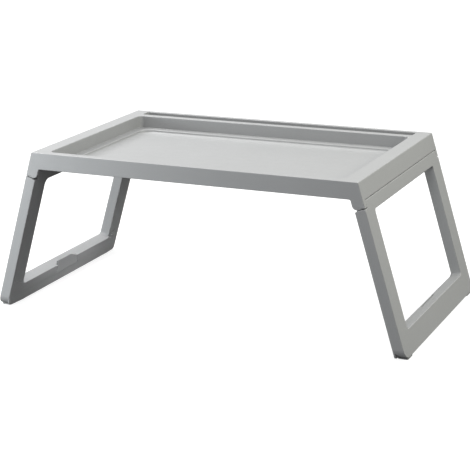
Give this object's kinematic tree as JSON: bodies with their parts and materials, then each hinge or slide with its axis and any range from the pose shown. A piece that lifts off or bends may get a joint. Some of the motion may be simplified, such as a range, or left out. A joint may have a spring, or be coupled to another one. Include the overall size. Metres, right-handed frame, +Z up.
{
  "type": "folding tray table",
  "caption": "Low bed tray with a sunken floor, raised rims, a long tablet slot at the back and splayed closed-frame legs that fold flat under it.",
  "frame": {"origin": "on the ground, under the middle of the tray", "axes": "+X along the tray's length to its right end, +Y to the back rim with the tablet slot, +Z up"},
  "size_m": [0.6882, 0.36, 0.26],
  "materials": {
    "tray_plastic": "fine satin grain, mid grey",
    "leg_plastic": "fine satin grain, mid grey",
    "foot_plastic": "soft matte grip, slightly darker grey"
  },
  "bodies": {
    "tray": {"tray_body": "tray_plastic"},
    "right_leg": {"leg_frame_right": "leg_plastic", "hinge_pin_right_front": "leg_plastic", "hinge_pin_right_back": "leg_plastic", "foot_pad_right_front": "foot_plastic", "foot_pad_right_back": "foot_plastic"},
    "right_latch": {"latch_tab_right": "leg_plastic"},
    "left_leg": {"leg_frame_left": "leg_plastic", "hinge_pin_left_front": "leg_plastic", "hinge_pin_left_back": "leg_plastic", "foot_pad_left_front": "foot_plastic", "foot_pad_left_back": "foot_plastic"},
    "left_latch": {"latch_tab_left": "leg_plastic"}
  },
  "joints": [
    {"name": "right_leg_fold", "type": "hinge", "parent": "tray", "child": "right_leg", "pos_m": [0.266, 0, 0.2265], "axis": [0, 1, 0], "range_deg": [0, 103]},
    {"name": "right_latch_flex", "type": "hinge", "parent": "right_leg", "child": "right_latch", "pos_m": [0.31519, 0, 0.02055], "axis": [0, 1, 0], "range_deg": [0, 3], "stiffness_Nm_per_rad": 0.4},
    {"name": "left_leg_fold", "type": "hinge", "parent": "tray", "child": "left_leg", "pos_m": [-0.266, 0, 0.2265], "axis": [0, -1, 0], "range_deg": [0, 103]},
    {"name": "left_latch_flex", "type": "hinge", "parent": "left_leg", "child": "left_latch", "pos_m": [-0.31519, 0, 0.02055], "axis": [0, -1, 0], "range_deg": [0, 3], "stiffness_Nm_per_rad": 0.4}
  ]
}
